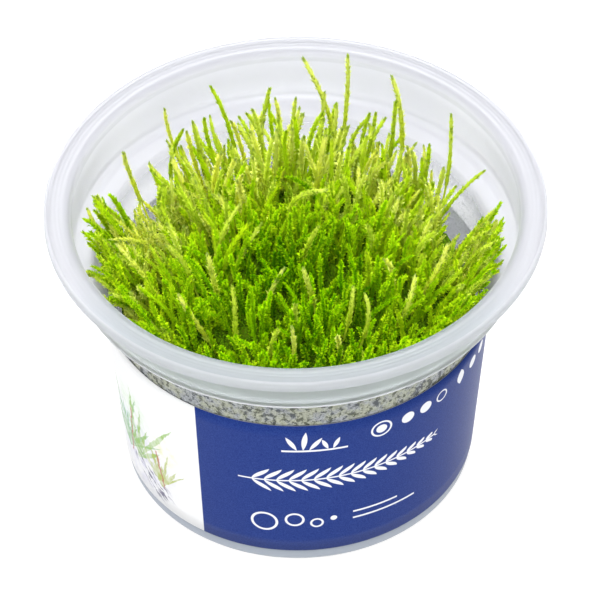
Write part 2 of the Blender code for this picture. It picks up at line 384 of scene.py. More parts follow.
# %% Frosted plastic material
def frosted_plastic():
    """Rough glass and milk mixed by height and side, with painted light and shade in its colour, a misted
    wall, and painted shade on the wet band and the foot outside.
    """
    material, start = new_material("frosted plastic")
    x, y, z, where = place_mm(start)
    far = (x * x + y * y) ** 0.5
    # Painted shade: the front of the cup, where the moss shows through, is painted darker and greener.
    front_shade = y.step(-18.0, -38.0)
    behind = y.step(-44.0, -18.0)
    top, lip, bright = rim_masks(z, far)
    mist = z.step(LEDGE - 0.7, LEDGE - 2.2) * z.step(MIST_FOOT, MIST_FOOT + 12.0)
    beads = cells(where, 1.9).step(0.42, 0.1).at_least(cells(where, 0.8).step(0.30, 0.12))
    wet = beads * mist * (x.step(18.0, 32.0) * 0.6 + 0.2)
    relief = noise(where, 6.0) * 0.08 + wet
    dry_colour = plastic_colour(x, z, far, where, front_shade, top, bright)
    colour = (wet * 0.5).mix(dry_colour, (0.42, 0.43, 0.48))
    glassy = principled(
        start,
        {
            "Base Color": colour,
            "Roughness": 0.34 - 0.1 * mist,
            "IOR": 1.42,
            "Specular IOR Level": 0.1,
            "Transmission Weight": 1.0,
            "Normal": bump(relief, 0.12),
        },
    )
    milky = principled(
        start,
        {"Base Color": colour, "Roughness": 0.5, "Specular IOR Level": 0.05, "Normal": bump(relief, 0.05)},
    )
    milk = mix_shaders(0.6, milky, shining_through(start, (0.72, 0.725, 0.775)))
    milkiness = 0.30 + z.step(LEDGE - 1.0, LEDGE + 3.0) * behind * 0.10 + top * (0.02 + behind * 0.05)
    plastic = mix_shaders(milkiness.at_least(bright * 0.6).at_least(lip * 0.92), glassy, milk)
    outside = (far - z * WALL_TAPER - (FOOT_RADIUS - WALL_TAPER * FOOT_CORNER - WALL / 2)).step(-0.1, 0.1)
    # Painted shade, on the outside only: the wet band at the front, mottled with the moss behind it, and
    # the foot.
    band = mist * z.step(LABEL_TOP - 4.0, LABEL_TOP - 2.0) * y.step(26.0, -8.0) * 0.76
    wet_band_and_shade = outside * band.at_least(foot_mask(z) * 0.75)
    return finish(material, start, mix_shaders(wet_band_and_shade, plastic, mist_and_shade_grey(z, where)))


cup_finish = frosted_plastic()

# %% [markdown]
# ## The cup
#
# The cup was pressed in one shot between two round moulds, so one closed profile turned about
# the axis holds all of it: floor, tapered wall, ledge, collar and rim. The same could be done
# with a Screw modifier. A grid of angle by profile point gives the same surface with the points
# at hand, and it is closed at both poles.

# %% Turned surfaces
def arc(centre_r, centre_z, radius, start_deg, end_deg, steps):
    """Points on a circle's arc: centre + radius * (cos, sin), as an array of (r, z)."""
    turn = np.radians(np.linspace(start_deg, end_deg, steps + 1))
    return np.stack([centre_r + radius * np.cos(turn), centre_z + radius * np.sin(turn)], axis=1)


def closed_grid(name, body, first_pole, last_pole):
    """Rings of points as one closed mesh: quads between the rings, a fan of triangles at each pole."""
    rows, columns = body.shape[:2]
    points = np.concatenate([body.reshape(-1, 3), [first_pole, last_pole]])
    here = np.arange(columns)
    after = (here + 1) % columns
    end_row = (rows - 1) * columns
    first, last = np.full(columns, rows * columns), np.full(columns, rows * columns + 1)
    first_fan = np.stack([first, after, here], axis=1)
    last_fan = np.stack([last, end_row + here, end_row + after], axis=1)
    fans = np.concatenate([first_fan, last_fan])
    return make_mesh(name, points, [grid_faces(rows, columns, wrap=True), fans])


def round_axis(r, angle, z):
    """Points at radius r, an angle and a height: (r cos angle, r sin angle, z)."""
    return np.stack([r * np.cos(angle), r * np.sin(angle), z + 0.0 * angle], axis=-1)


def turned_mesh(name, parts, segments):
    """The parts of a profile, (r, z) from axis to axis, joined and turned about Z."""
    profile = np.concatenate([np.asarray(part, dtype=float) for part in parts])[::-1]
    angle = np.linspace(0.0, math.tau, segments, endpoint=False)
    body = round_axis(profile[1:-1, :1], angle, profile[1:-1, 1:])
    return closed_grid(name, body, [0.0, 0.0, profile[0, 1]], [0.0, 0.0, profile[-1, 1]])


print("a quarter circle in 6 steps has", len(arc(0.0, 0.0, 1.0, 0.0, 90.0, 6)), "points")

# %% Cup profile
def wall_outer(z):
    """Outer radius of the tapered wall: foot radius + taper * height over the corner."""
    return FOOT_RADIUS + WALL_TAPER * (z - FOOT_CORNER)


def rim_top_points(start_r, end_r, steps):
    """The rim's flat top with three low moulding rings: a cosine ripple on a level line."""
    r = np.linspace(start_r, end_r, steps + 1)
    ripple = 0.012 * (np.cos((r - start_r) / (end_r - start_r) * 3 * math.tau) - 1.0)
    return np.stack([r, RIM_TOP + ripple], axis=1)


def cup_profile():
    """From the floor's middle up the inside, over the rim, down the outside, to under the floor."""
    top = RIM_TOP
    inner = [(wall_outer(z) - WALL, z) for z in (20.0, 36.0, LEDGE - 1.6)]
    return [
        [(0.0, FLOOR_TOP)],
        arc(wall_outer(FLOOR_TOP + 1.2) - WALL - 1.2, FLOOR_TOP + 1.2, 1.2, -90, 0, 5),
        inner,
        arc(LEDGE_RADIUS - 0.5, LEDGE - 0.9, 0.9, 150, 105, 3),
        arc(RIM_INNER_RADIUS - 3.0, LEDGE + 3.35, 3.0, -75, -5, 8),
        arc(RIM_INNER_RADIUS + RIM_ROUNDING, top - RIM_ROUNDING, RIM_ROUNDING, 180, 92, 9),
        rim_top_points(RIM_INNER_RADIUS + RIM_ROUNDING + 0.2, RIM_RADIUS - 0.8, 24),
        arc(RIM_RADIUS - 0.7, top - 0.7, 0.7, 84, 0, 5),
        [(RIM_RADIUS, top - 1.95)],
        arc(RIM_RADIUS - 0.35, top - 1.95, 0.3, 0, -180, 5),
        [(RIM_RADIUS - 0.9, top - 1.1), (COLLAR_OUTER_RADIUS + 0.6, top - 1.15)],
        [(COLLAR_OUTER_RADIUS + 0.2, top - 1.6), (COLLAR_OUTER_RADIUS + 0.1, top - 5.0)],
        arc(COLLAR_OUTER_RADIUS - 0.5, LEDGE + 1.0, 0.45, 0, -90, 6),
        [(LEDGE_RADIUS + 0.9, LEDGE - 0.7), (wall_outer(LEDGE - 1.9), LEDGE - 1.9)],
        [(wall_outer(36.0), 36.0), (wall_outer(20.0), 20.0)],
        arc(FOOT_RADIUS - FOOT_CORNER, FOOT_CORNER, FOOT_CORNER, 0, -90, 6),
        [(31.5, 0.0), (31.2, 0.3), (31.0, 0.8), (0.0, 0.8)],
    ]


cup_mesh = turned_mesh("cup_moulding", cup_profile(), 240)
add_piece("cup_moulding", cup_mesh, cup_finish, "cup")

# %% [markdown]
# ## The gel
#
# Clear nutrient gel was poured in hot and set with a meniscus, a rim that climbs the wall. Only
# its edge shows, through the foot of the cup under the label. Turning a short profile is enough.

# %% Gel
GEL_CORNER = 1.6


def gel_material():
    """Clear, slightly cloudy gel with a wet surface."""
    material, start = new_material("nutrient gel")
    where = place_mm(start)[3]
    colour = noise(where, 0.15, detail=3.0).mix((0.80, 0.83, 0.80), (0.88, 0.89, 0.84))
    shine = {"Base Color": colour, "Roughness": 0.25, "IOR": 1.34, "Transmission Weight": 0.6}
    return finish(material, start, principled(start, shine))


def gel_profile():
    """A disc whose edge climbs the wall by a quarter circle, down its side and under it."""
    low, high = gel_low[2], gel_high[2] - 0.8
    edge = gel_high[0]
    foot = wall_outer(low + GEL_CORNER) - WALL - 0.3
    return [
        [(0.0, high), (edge - 6.0, high)],
        arc(edge - 1.4, high + 1.1, 1.1, -90, -16, 5),
        [(edge - 0.1, high + 0.8), (edge, high + 0.5)],
        arc(foot - GEL_CORNER, low + GEL_CORNER, GEL_CORNER, 0, -90, 5),
        [(0.0, low)],
    ]


gel_mesh = turned_mesh("gel_disc", gel_profile(), 120)
add_piece("gel_disc", gel_mesh, gel_material(), "gel")

# %% [markdown]
# ## The paper label
#
# The label is one strip of coated paper, cut on a curve so that it lies flat on the tapered
# wall, with its ends lapped at the back. Its cross-section is swept round the wall as a grid of
# angle by corner. The printing has no relief, so it is all in the material.

# %% Label strip
LABEL_SEAM_DEG = 75.0
LABEL_LAP_DEG = 10.0
LABEL_ROWS = 12
GLUE = 0.08
PAPER = 0.14


def label_mesh():
    """The strip's section, up one face and down the other, carried round: r = wall + lift + paper."""
    turn = np.linspace(0.0, 360.0 + LABEL_LAP_DEG, 370)
    lap = np.clip((turn - 360.0 + LABEL_LAP_DEG) / LABEL_LAP_DEG, 0.0, 1.0)
    lift = GLUE + 0.3 * lap
    angle = np.radians(LABEL_SEAM_DEG + turn)[:, None]
    heights = np.linspace(LABEL_FOOT, LABEL_TOP, LABEL_ROWS)
    z = np.concatenate([heights, heights[::-1]])[None, :]
    front = np.concatenate([np.ones(LABEL_ROWS), np.zeros(LABEL_ROWS)])[None, :]
    r = wall_outer(z) + lift[:, None] + PAPER * front
    points = round_axis(r, angle, z)
    rows, columns = points.shape[:2]
    quads = grid_faces(rows, columns, wrap=True)[:, ::-1]
    inner = np.arange(LABEL_ROWS - 1)
    first_end = np.stack([inner, inner + 1, columns - 2 - inner, columns - 1 - inner], axis=1)
    last_end = (first_end + (rows - 1) * columns)[:, ::-1]
    looks = np.stack([np.broadcast_to(front, r.shape)] * 3, axis=-1).reshape(-1, 3)
    return make_mesh("label_strip", points.reshape(-1, 3), [quads, first_end, last_end], looks)


label_strip = label_mesh()
print("label strip:", len(label_strip.vertices), "points")

# %% [markdown]
# ### What is printed on it
#
# Masks do the printing: each motif is a number from 0 to 1 worked out from the place on the
# label, in millimetres round and up. A dot is a distance, a leaf is the room between two
# parabolas, and a sprig is that leaf repeated along slanted lanes. Distances keep an edge sharp
# at any size, which a painted picture would not.

# %% Motifs
SOFT = 0.06


def distance(u, v, cu, cv):
    """From (cu, cv): the root of the two squares' sum."""
    du, dv = u - cu, v - cv
    return (du * du + dv * dv) ** 0.5


def dot(u, v, cu, cv, radius):
    """1 inside a circle."""
    return distance(u, v, cu, cv).step(radius + SOFT, radius - SOFT)


def ring(u, v, cu, cv, radius, width):
    """1 on a circle's line."""
    return abs(distance(u, v, cu, cv) - radius).step(width / 2 + SOFT, width / 2 - SOFT)


def bar(u, v, u0, u1, v0, v1):
    """1 inside a box."""
    du = abs(u - (u0 + u1) / 2) - (u1 - u0) / 2
    dv = abs(v - (v0 + v1) / 2) - (v1 - v0) / 2
    return du.at_least(dv).step(SOFT, -SOFT)


def turned(u, v, cu, cv, degrees):
    """Coordinates along and across an axis through (cu, cv) at an angle."""
    c, s = math.cos(math.radians(degrees)), math.sin(math.radians(degrees))
    du, dv = u - cu, v - cv
    return du * c + dv * s, dv * c - du * s


def leaf(u, v, cu, cv, degrees, length, width):
    """1 inside a leaf: |across| < width/2 * (1 - t^2), where t runs from -1 to 1 along it."""
    along, across = turned(u, v, cu, cv, degrees)
    t = along * (2.0 / length) - 1.0
    return ((1.0 - t * t) * (width / 2) - abs(across)).step(-0.05, 0.07)


def sprig(u, v, cu, cv, degrees, length, spacing, leaf_length):
    """A stem with paired leaves: slanted lanes repeat one leaf, and lanes near the tip are shorter."""
    along, across = turned(u, v, cu, cv, degrees)
    side = abs(across)
    slant = math.radians(42.0)
    lane = along - side / math.tan(slant)
    index = (lane / spacing).math("FLOOR")
    middle = (lane - index * spacing - spacing / 2) * math.sin(slant)
    share = (index * spacing / length).math("MULTIPLY", 1.0, clamp=True)
    reach = (1.0 - share * share * 0.75) * leaf_length
    t = (side / math.sin(slant) / reach) * 2.0 - 1.0
    width = spacing * 0.62 * math.sin(slant)
    blades = ((1.0 - t * t) * (width / 2) - abs(middle)).step(-0.05, 0.07)
    span = lane.step(-0.1, 0.1) * lane.step(length + 0.1, length - 0.1)
    stem = side.step(0.24, 0.14) * along.step(-1.6, -1.4) * along.step(length + 0.3, length)
    return (blades * span).at_least(stem)


print("the edge of a printed mark is", 2 * SOFT, "mm soft")

# %% [markdown]
# ### The pictograms
#
# The blue panel and the white back carry small signs: plants, rings, dots and ruled lines. A
# table for each kind of mark lists places and sizes in millimetres, and the largest of all
# the marks' masks is the whole drawing.

# %% Tables of marks
# across and up the strip, then a dot's radius; a ring's radius and width; a leaf's slope, length and
# width. A bar has its left, right, low and high side.
BLUE_PANEL = {
    "dots": [
        (16.4, 38.0, 1.15), (22.3, 38.0, 1.45), (26.7, 38.0, 1.45),
        (42.2, 38.0, 1.4), (46.6, 38.0, 1.4), (6.9, 13.4, 0.7),
    ],
    "rings": [
        (16.4, 38.0, 2.05, 0.42), (31.1, 38.0, 1.35, 0.34),
        (-7.5, 12.6, 2.6, 0.55), (-1.2, 13.6, 1.8, 0.5), (3.4, 12.4, 1.2, 0.45),
    ],
    "leaves": [
        (-0.5, 35.6, 118, 4.6, 1.0), (0.7, 35.6, 84, 5.6, 1.1), (1.9, 35.6, 55, 4.4, 1.0),
        (5.6, 35.6, 112, 3.2, 0.9), (6.6, 35.6, 68, 3.4, 0.9), (37.2, 36.2, 90, 4.2, 2.4),
    ],
    "bars": [(-3.5, 9.5, 35.1, 35.6), (11.0, 25.5, 12.0, 12.5), (11.0, 21.0, 14.0, 14.5)],
}
WHITE_BACK = {
    "dots": [(98.0, 33.0, 0.9)],
    "rings": [
        (76.0, 33.0, 4.0, 0.5), (87.0, 33.0, 4.0, 0.5),
        (98.0, 33.0, 4.0, 0.5), (98.0, 33.0, 1.7, 0.4),
    ],
    "leaves": [(76.0, 30.4, 90, 5.2, 2.8), (84.8, 31.4, 42, 5.4, 2.4)],
    "bars": [(72.0, 102.0, 24.0, 24.4), (72.0, 102.0, 20.5, 20.8), (72.0, 96.0, 17.0, 17.3)],
}


def drawn(u, v, table):
    """The largest mask of all the marks in a table."""
    kinds = {"dots": dot, "rings": ring, "leaves": leaf, "bars": bar}
    marks = [kinds[kind](u, v, *row) for kind, rows in table.items() for row in rows]
    whole = marks[0]
    for mark in marks[1:]:
        whole = whole.at_least(mark)
    return whole


for panel in (BLUE_PANEL, WHITE_BACK):
    print("marks:", {kind: len(rows) for kind, rows in panel.items()})

# %% [markdown]
# ### The watercolour
#
# The white panel shows loosely painted plants. Paint runs and its edges waver, so noise moves
# the place that each mask reads. Clouds of colour come first, then a dark ground in slanted
# strokes, then tufts of green blades and two red twigs, each washed over the ones before.

# %% Watercolour
def tuft(u, v, cu, cv, degrees, spread, blades, length, width):
    """Blades from one point: lanes of bearing repeat one leaf, |across| < width/2 * (1 - t^2) in each."""
    along, across = turned(u, v, cu, cv, degrees)
    far = (along * along + across * across) ** 0.5
    lane = across.math("ARCTAN2", along) * (blades / math.radians(spread))
    index = lane.math("FLOOR")
    middle = (lane - index - 0.5) * (math.radians(spread) / blades) * far
    reach = ((index * 2.4).math("SINE") * 0.25 + 0.75) * length
    t = far / reach * 2.0 - 1.0
    blade = ((1.0 - t * t) * (width / 2) - abs(middle)).step(-0.06, 0.08)
    return blade * abs(lane).step(blades / 2 + 0.01, blades / 2 - 0.01)


# place across and up, radius and tint
CLOUDS = [
    (-40.0, 14.0, 15.0, (0.40, 0.38, 0.66)),
    (-41.0, 27.0, 8.0, (0.45, 0.75, 0.35)),
    (-31.0, 22.0, 6.0, (0.80, 0.80, 0.25)),
    (-46.0, 20.0, 7.0, (0.30, 0.55, 0.60)),
]
# place, slope, spread in degrees, number of blades, their length and width, and the green
TUFTS = [
    (-46.0, 11.0, 88.0, 100.0, 9, 21.0, 1.1, (0.16, 0.42, 0.10)),
    (-41.5, 11.5, 72.0, 70.0, 6, 24.0, 1.2, (0.28, 0.50, 0.08)),
    (-33.0, 9.5, 88.0, 80.0, 9, 13.0, 0.9, (0.42, 0.50, 0.06)),
]


def watercolour(u, v, where, paper):
    """Clouds, ground, tufts and twigs with wavering edges, washed over the paper one by one."""
    waver = (noise(where, 0.55, detail=3.0) - 0.5) * 1.8
    pu, pv = u + waver, v + waver * 0.6
    wash = noise(where, 0.5, detail=4.0).step(0.35, 0.7)
    colour = paper
    for cu, cv, radius, tint in CLOUDS:
        fade = distance(pu, pv, cu, cv).step(radius, radius * 0.2)
        colour = (fade * (0.05 + wash * 0.40)).mix(colour, tint)
    along, across = turned(pu, pv, -37.5, 10.5, -32.0)
    grain = along.node("ShaderNodeCombineXYZ", None, {0: along * 0.25, 1: across * 1.1, 2: 0.0})
    strokes = noise(grain, 1.0).step(0.50, 0.60)
    ground = ((along * along / 110.0 + across * across / 18.0) ** 0.5).step(1.0, 0.6)
    colour = (ground * strokes * 0.85).mix(colour, (0.09, 0.08, 0.16))
    for *form, green in TUFTS:
        colour = (tuft(pu, pv, *form) * (0.45 + wash * 0.5)).mix(colour, green)
    for cu, cv, degrees, length in [(-44.5, 11.0, 80.0, 16.0), (-32.0, 10.0, 98.0, 11.0)]:
        along, across = turned(pu, pv, cu, cv, degrees)
        twig = abs(across).step(0.36, 0.14) * along.step(-0.2, 0.2)
        twig = twig * along.step(length, length - 1.0)
        colour = (twig * 0.8).mix(colour, (0.46, 0.08, 0.07))
    return colour


print(len(CLOUDS), "clouds of colour and", len(TUFTS), "tufts")

# %% [markdown]
# ### Paper and ink
#
# Coated paper is nearly smooth, with a faint fibre grain that shows in large flat areas of ink.
# The print runs round the wall, so it reads an angle and the height from Object coordinates
# and needs no seam. The white paper lets more light through where no moss is close behind it.

# %% Printed paper material
PRINT_RADIUS = 37.8
BLUE_START_DEG = -31.5
BLUE_END_DEG = 98.0
INK_WHITE = (0.80, 0.81, 0.85)
INK_BLUE = (0.03, 0.05, 0.19)
print("the strip is", round(math.tau * PRINT_RADIUS, 1), "mm long")


def printed_paper():
    """White marks on blue and colours on white, chosen by angle and height; the inner face is plain."""
    material, start = new_material("printed paper")
    x, y, z, where = place_mm(start)
    u = x.math("ARCTAN2", -y) * PRINT_RADIUS
    grain = noise(where, 3.0, detail=3.0, roughness=0.6)
    speck = noise(where, 4.2, detail=2.0, roughness=0.7)
    blue_start = math.radians(BLUE_START_DEG) * PRINT_RADIUS - 1.0
    blue_end = math.radians(BLUE_END_DEG) * PRINT_RADIUS
    blue_area = bar(u - z * 0.023, z, blue_start, blue_end, -5.0, 80.0)
    paper = grain.mix((0.88, 0.885, 0.89), (0.92, 0.925, 0.93))
    blue = speck.step(0.3, 0.7).mix((0.005, 0.022, 0.165), (0.024, 0.054, 0.235))
    white_marks = drawn(u, z, BLUE_PANEL).at_least(sprig(u, z, -11.0, 25.8, 2.0, 41.0, 2.5, 5.2))
    printed = white_marks.mix(blue, INK_WHITE)
    white = drawn(u, z, WHITE_BACK).mix(watercolour(u, z, where, paper), INK_BLUE)
    front = look_numbers(start)[0]
    colour = front.mix((0.86, 0.865, 0.90), blue_area.mix(white, printed))
    gloss = {"Roughness": 0.30 + grain * 0.16, "Specular IOR Level": 0.08, "Normal": bump(grain, 0.02)}
    plain = principled(start, {"Base Color": colour, **gloss})
    behind = y.step(-12.0, 14.0) * (x.step(8.0, 30.0) * 0.1 + 0.35) * (1.0 - blue_area)
    share = 0.9 - front * (0.8 - behind + blue_area * 0.08) - (1.0 - front) * blue_area * 0.5
    return finish(material, start, mix_shaders(share, plain, shining_through(start, (0.94, 0.94, 0.96))))


add_piece("label_strip", label_strip, printed_paper(), "label")

# %% [markdown]
# ## Moss green
#
# A moss leaf is one cell thick, so light shines through it, and a clump glows. Young tips are
# yellow-green, older parts deep green, the oldest olive. Every point of the moss carries three
# numbers, its rise along the shoot, its shoot's tone and its leaf's fleck, and the material
# turns them into colour. A low fleck gives dark green, partly at random and partly as painted
# shade. A high tone gives a pale yellow-green, partly the moss's own colour and partly painted
# light.

# %% Moss green
def moss_green():
    """Thin green leaves, partly plain and partly shining through, coloured by rise, tone and fleck."""
    material, start = new_material("moss green")
    rise, tone, fleck = look_numbers(start)
    old = tone.mix((0.14, 0.30, 0.002), (0.74, 0.80, 0.05))
    grown = tone.mix((0.27, 0.66, 0.001), (0.93, 0.99, 0.02))
    fresh = tone.mix((0.68, 0.94, 0.001), (0.99, 1.0, 0.03))
    young = tone.step(0.60, 0.95).mix(fresh, (0.99, 1.0, 0.46))
    low = rise.step(0.1, 0.6).mix(old, grown)
    body = (rise.step(0.4, 0.9) * 0.5 + fleck * 0.6 - 0.1).mix(low, young)
    # A low fleck turns a leaf dark green: at random, and as painted shade where a shoot's shade lowers it.
    shaded = fleck.step(0.05, 0.40).mix((0.07, 0.22, 0.002), body)
    tip = rise.step(0.95, 0.99) * tone.step(0.35, 0.6) * 0.75
    colour = tip.mix(shaded, (0.14, 0.30, 0.012))
    plain = principled(
        start,
        {
            "Base Color": colour,
            "Roughness": 0.45,
            "Specular IOR Level": 0.02,
            "Coat Weight": fleck.step(0.74, 0.88),
            "Coat Roughness": 0.2,
        },
    )
    green_glow = shining_through(start, (0.42, 0.84, 0.002))
    through = mix_shaders(tone, green_glow, shining_through(start, (0.98, 1.0, 0.16)))
    return finish(material, start, mix_shaders(0.42 + tone * 0.14 - tip * 0.35, plain, through))


moss_finish = moss_green()

# %% [markdown]
# ## Shoots
#
# Each shoot is a thin stem on a bent line, with leaves set round it in a spiral, 137.5 degrees
# from one to the next. A particle system could scatter copies, but the lines here lean and bend
# each in its own way, so all shoots are computed together as one array: shoot by step along it.
# A leaf is only four points: its base, two margins and a tip.

# %% Lines of the shoots
def bent_lines(shoots, share):
    """(1-t)^2 root + 2t(1-t) knee + t^2 tip + t^4 hook at each share t, with its unit direction."""
    t = share[None, :, None]
    root, knee, tip, hook = [shoots[key][:, None] for key in ("root", "knee", "tip", "hook")]
    place = (1 - t) ** 2 * root + 2 * t * (1 - t) * knee + t**2 * tip + t**4 * hook
    along = 2 * (1 - t) * (knee - root) + 2 * t * (tip - knee) + 4 * t**3 * hook
    return place, along / np.linalg.norm(along, axis=-1, keepdims=True)


def side_vectors(along):
    """Two unit vectors across each direction: cross products with a fixed slanted line."""
    side = np.cross(along, np.array([0.31, 0.92, 0.24]))
    side /= np.linalg.norm(side, axis=-1, keepdims=True)
    return side, np.cross(along, side)


heights = {"root": 0.0, "knee": 5.0, "tip": 10.0, "hook": 0.0}
upright = {key: np.array([[0.0, 0.0, height]]) for key, height in heights.items()}
print("half way up a straight shoot of 10:", bent_lines(upright, np.array([0.5]))[0].ravel())

# %% [markdown]
# ### Stems and leaves
#
# A stem is a thin tube of five sides that tapers, and a leaf is a small folded blade with a
# back and a front. The leaves at the tip close over it, as they do round a growing bud.

# %% Stems and leaves as arrays
STEM_SIDES = 5


def stem_arrays(shoots, steps):
    """Tubes along the lines, tapering to half: centre + r (cos a side + sin a across), closed by a tip."""
    share = np.linspace(0.0, 0.97, steps)
    place, along = bent_lines(shoots, share)
    side, across = side_vectors(along)
    turn = np.linspace(0.0, math.tau, STEM_SIDES, endpoint=False)[None, None, :, None]
    thick = (shoots["radius"][:, None] * (1.0 - 0.5 * share[None, :]))[:, :, None, None]
    outward = np.cos(turn) * side[:, :, None] + np.sin(turn) * across[:, :, None]
    rings = place[:, :, None] + thick * outward
    count = len(shoots["root"])
    end = (shoots["tip"] + shoots["hook"])[:, None]
    points = np.concatenate([rings.reshape(count, -1, 3), end], axis=1)
    quads = grid_faces(steps, STEM_SIDES, wrap=True)
    last = (steps - 1) * STEM_SIDES
    here = np.arange(STEM_SIDES)
    after = (here + 1) % STEM_SIDES
    cap = np.stack([last + here, last + after, np.full(STEM_SIDES, last + STEM_SIDES)], axis=1)
    rise = np.concatenate([np.repeat(share, STEM_SIDES), [0.97]])
    return points, [quads, cap], np.broadcast_to(rise, (count, len(rise)))


LEAF_FACES = np.array([[0, 1, 3], [0, 3, 2], [0, 2, 1], [3, 1, 2]])
LEAF_POINTS = 4
GOLDEN_TURN = math.radians(137.508)


def leaf_arrays(shoots, leaves, rng):
    """Leaves in a spiral: direction = along cos s + outward sin s, closer to the stem at its tip."""
    count = len(shoots["root"])
    first = shoots["first"]
    share = first + (0.995 - first) * (np.arange(leaves) + 0.5) / leaves
    place, along = bent_lines(shoots, share)
    side, across = side_vectors(along)
    spin = np.arange(leaves)[None, :] * GOLDEN_TURN + rng.uniform(0, math.tau, (count, 1))
    spin = (spin + rng.normal(0, 0.25, (count, leaves)))[..., None]
    outward = np.cos(spin) * side + np.sin(spin) * across
    flat = np.cross(along, outward)
    near_tip = np.clip((share - 0.90) / 0.10, 0.0, 1.0)[None, :]
    lean = shoots["spread"][:, None] * (1.0 - 0.6 * near_tip) * rng.uniform(0.6, 1.4, (count, leaves))
    size = (1.0 - 0.25 * near_tip**2) * rng.uniform(0.75, 1.2, (count, leaves))
    size = (size * shoots["length"][:, None])[..., None]
    lean = lean[..., None]
    point_out = np.cos(lean) * along + np.sin(lean) * outward
    face_out = np.cos(lean) * outward - np.sin(lean) * along
    thin = 1.0 - 0.5 * share[None, :, None]
    base = place + outward * (shoots["radius"][:, None, None] * thin * 0.7)
    middle = base + point_out * size * 0.4 - face_out * size * 0.10
    half = flat * size * (shoots["width"] / 2)
    curl = rng.normal(0.0, 0.10, (count, leaves, 1))
    end = base + point_out * size + face_out * size * curl
    points = np.stack([base, middle + half, middle - half, end], axis=2)
    rise = np.broadcast_to(share[None, :, None], (count, leaves, LEAF_POINTS))
    fleck = rng.uniform(-0.40, 0.40, (count, leaves, 1)) + np.array([-0.18, -0.05, -0.05, 0.20])
    return points.reshape(count, -1, 3), rise.reshape(count, -1), fleck.reshape(count, -1)


print("a leaf has", LEAF_POINTS, "points and", len(LEAF_FACES), "faces, and a stem", STEM_SIDES, "sides")

# %% [markdown]
# ### A batch as one piece
#
# A hundred thousand leaves as single objects would be slow to handle, so a whole batch of
# shoots becomes one mesh. Stems are smooth, and leaves stay flat so that each catches light.

# %% One mesh from many shoots
def repeated_faces(faces, count, stride):
    """The same faces for each copy, each copy's indices moved on by stride."""
    moved = faces[None] + (np.arange(count) * stride)[:, None, None]
    return moved.reshape(-1, faces.shape[1])


def plant(name, shoots, leaves, steps, rng):
    """Stems and leaves of a batch as one piece of moss, with a look vector at each point."""
    count = len(shoots["root"])
    stem_points, stem_faces, stem_rise = stem_arrays(shoots, steps)
    leaf_points, leaf_rise, leaf_fleck = leaf_arrays(shoots, leaves, rng)
    stem_size = stem_points.shape[1]
    stem_total = count * stem_size

    def each_point(values):
        return np.concatenate([np.repeat(values, stem_size), np.repeat(values, leaves * LEAF_POINTS)])

    faces = [repeated_faces(f, count, stem_size) for f in stem_faces]
    leaf_faces = repeated_faces(LEAF_FACES, count * leaves, LEAF_POINTS) + stem_total
    points = np.concatenate([stem_points.reshape(-1, 3), leaf_points.reshape(-1, 3)])
    fleck = shoots["fleck"] * np.concatenate([np.full(stem_total, -0.2), leaf_fleck.ravel()])
    # A shoot's shade lowers the fleck of all its points as painted shade; a negative shade raises it as
    # painted light.
    fleck = 0.5 - each_point(np.broadcast_to(shoots["shade"], count)) + fleck
    rise = np.concatenate([stem_rise.ravel(), leaf_rise.ravel()])
    looks = np.stack([rise, each_point(shoots["tone"]), fleck], axis=1)
    mesh = make_mesh(name, points, [*faces, leaf_faces], looks)
    smooth = np.arange(len(mesh.polygons)) < sum(len(f) for f in faces)
    mesh.polygons.foreach_set("use_smooth", smooth)
    add_piece(name, mesh, moss_finish, "moss_clump")


print("two copies of a leaf use points 0 to", repeated_faces(LEAF_FACES, 2, LEAF_POINTS).max())

# %% [markdown]
# ## Where the shoots stand
#
# The clump is an oval, a little nearer the front wall, and its top is a low dome. Shoots stand
# close together in a jittered spiral and lean outwards like a fan, more so at the edge. The
# middle is greener, and the edges and the back are more yellow and paler, where they get more
# light: partly the moss's own colour, partly painted light. Pits break up the top, and patches
# of painted shade darken it. A height map would do for that, but every shoot needs its own tip,
# so each of these is a formula of the place.

# %% The clump's form
HALF_WIDTH = 36.0
HALF_DEPTH = 31.5
FORWARD = 4.5


def outness(x, y):
    """0 in the middle of the oval, 1 at its side."""
    return np.hypot(x / HALF_WIDTH, (y + FORWARD) / HALF_DEPTH)


def dome(x, y):
    """Mean height of the shoots' tips: rim + 2 - 9 * outness squared."""
    return RIM_TOP + 2.0 - 9.0 * np.minimum(outness(x, y), 1.15) ** 2


# x and y of the pits in the top, and the radius and depth of each, in millimetres
PIT_RADIUS = 2.6
PIT_DEPTH = 4.5
PITS = [
    (-12, -17), (-2.5, -23.5), (8.5, -14.5), (7, -22),
    (12, -26.5), (-7, -30.5), (10.5, -34), (-18, -31),
]
# patches of painted shade, dark green: x, y and radius in millimetres, and how dark
SHADE_PATCHES = [
    (-3, -15, 7, 0.34), (8, -11, 6, 0.28), (13, -23, 5, 0.24), (2, -35, 9, 0.28),
    (-19, -31, 6, 0.24), (-13, -22, 4, 0.26), (22, -28, 5, 0.20), (-2, 6, 5, 0.18),
]


def bells(x, y, table):
    """The highest of several bells at each place: height * exp(-(distance / radius)^2)."""
    table = np.array(table, dtype=float)
    away = np.hypot(x[:, None] - table[:, 0], y[:, None] - table[:, 1])
    return (table[:, 3] * np.exp(-((away / table[:, 2]) ** 2))).max(axis=1)


def sway(x, y, phase):
    """Neighbours lean alike: a sum of three slow sine waves, about -1 to 1."""
    waves = np.sin(0.19 * x + phase) + np.sin(0.23 * y + 1.7 * phase)
    return (waves + np.sin(0.15 * (x + y) + 0.6 * phase)) / 3.0


print("middle of the dome", dome(0.0, -FORWARD), "mm, its side", dome(HALF_WIDTH, -FORWARD), "mm")

# %% [markdown]
# ### Which shoots stay, and their room
#
# The cup's wall turns shoots back in, so tips are pulled in to the room that the cup has at
# their height. Towards the back the clump is loose, and at both sides a piece of wall stays
# bare, so the shoots there are dropped.

